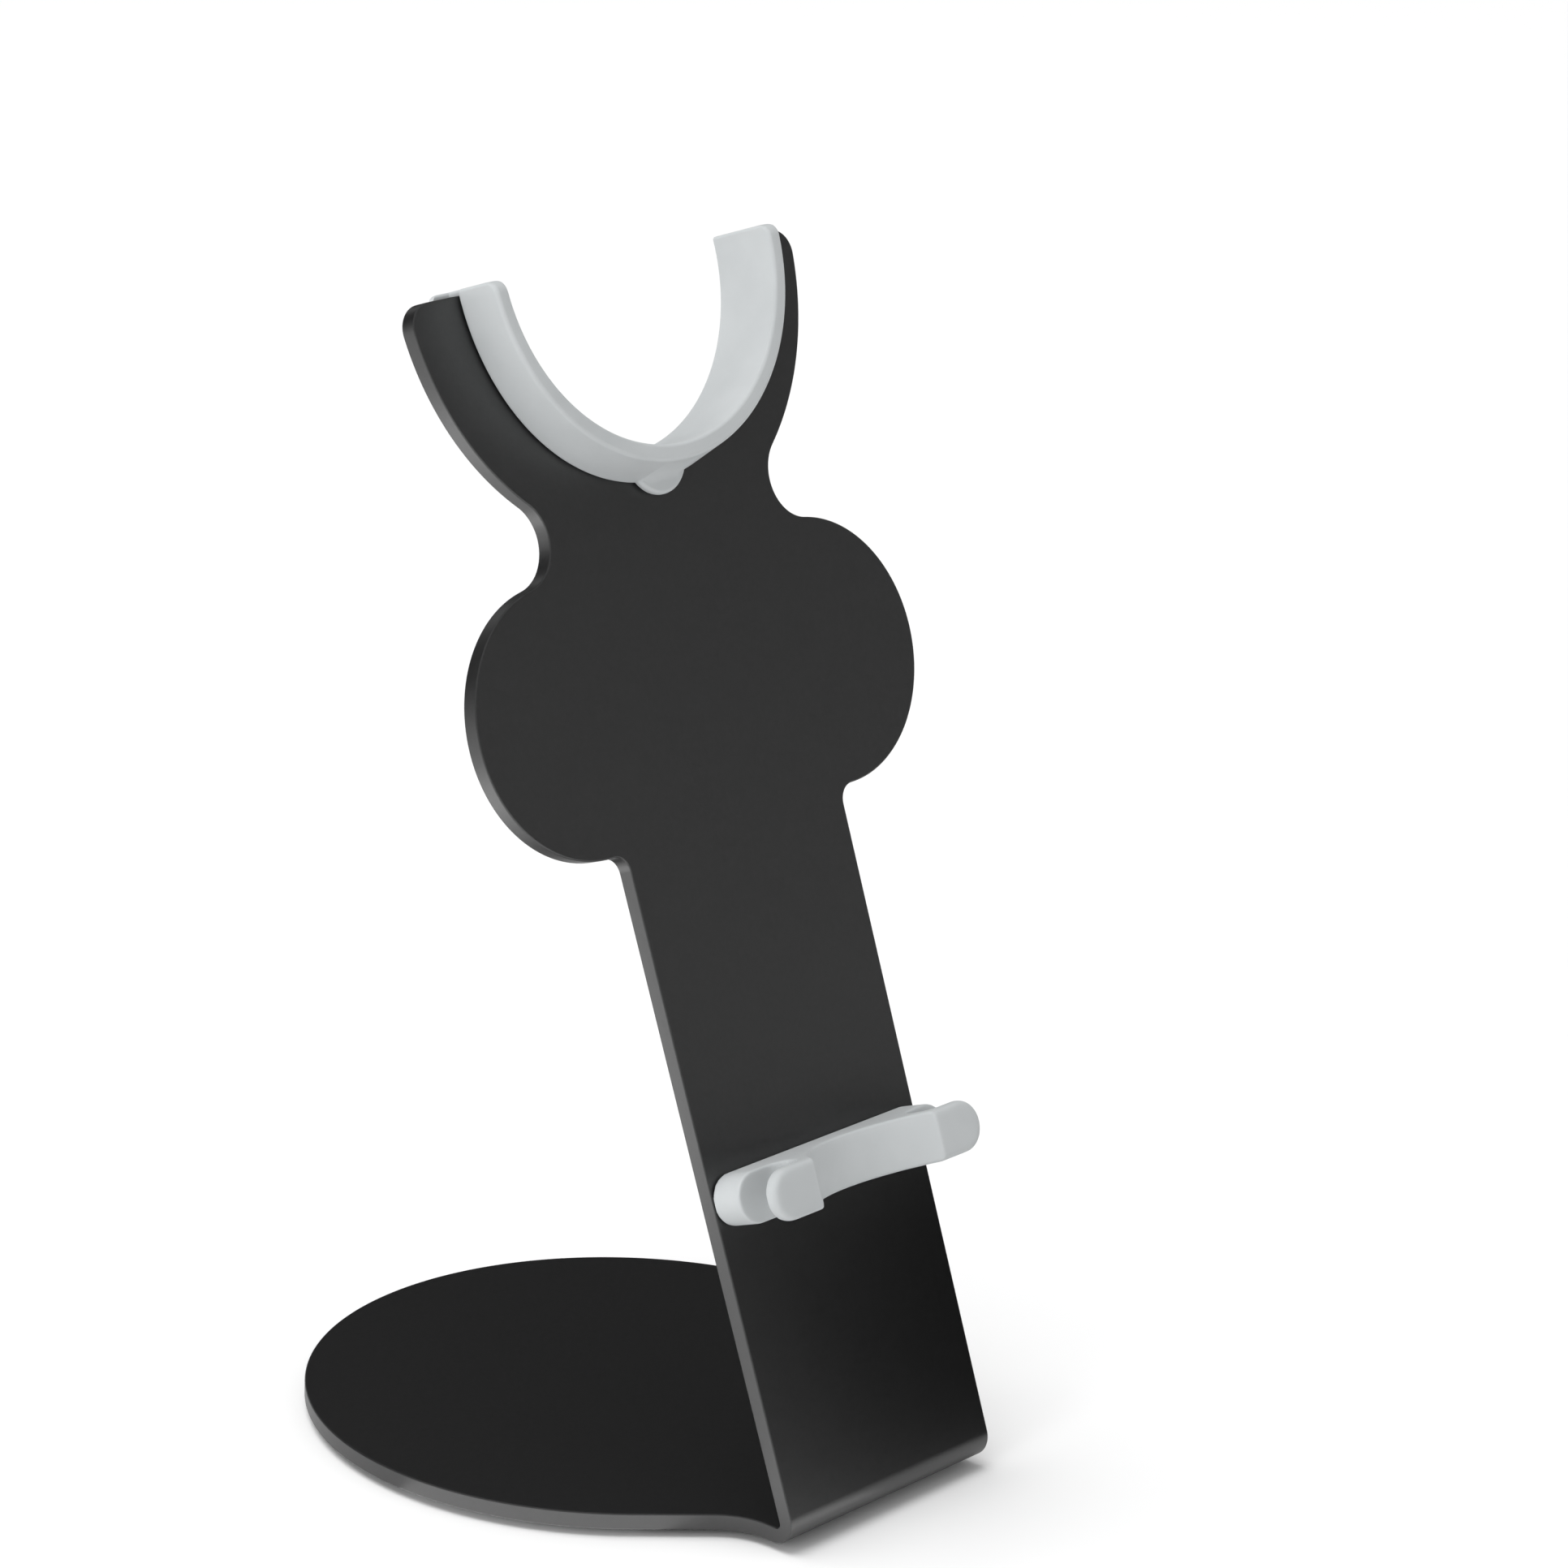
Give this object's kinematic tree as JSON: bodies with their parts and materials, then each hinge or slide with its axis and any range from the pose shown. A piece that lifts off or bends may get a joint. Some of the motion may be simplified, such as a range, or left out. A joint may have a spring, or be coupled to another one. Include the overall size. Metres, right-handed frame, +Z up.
{
  "type": "hair dryer holder",
  "caption": "Free-standing holder folded from one black steel sheet, with a padded cradle for a hair dryer, round nozzle lobes, a handle rest with cable hooks and a disc base.",
  "frame": {"origin": "middle of the footprint, on the surface that the foot pads rest on", "axes": "+Z up, X across the stand, the dryer's handle hangs on the -Y side and the base reaches back to +Y"},
  "size_m": [0.1412, 0.1514, 0.2636],
  "materials": {
    "powder_coated_steel": "satin black powder coat",
    "silicone": "matt light grey moulded silicone",
    "foot_rubber": "matt black rubber"
  },
  "bodies": {
    "root": {"stand_plate": "powder_coated_steel", "cradle_pad": "silicone", "handle_bracket": "silicone", "foot_pad_rear_right": "foot_rubber", "foot_pad_rear_left": "foot_rubber", "foot_pad_front_left": "foot_rubber", "foot_pad_front_right": "foot_rubber"}
  },
  "joints": []
}
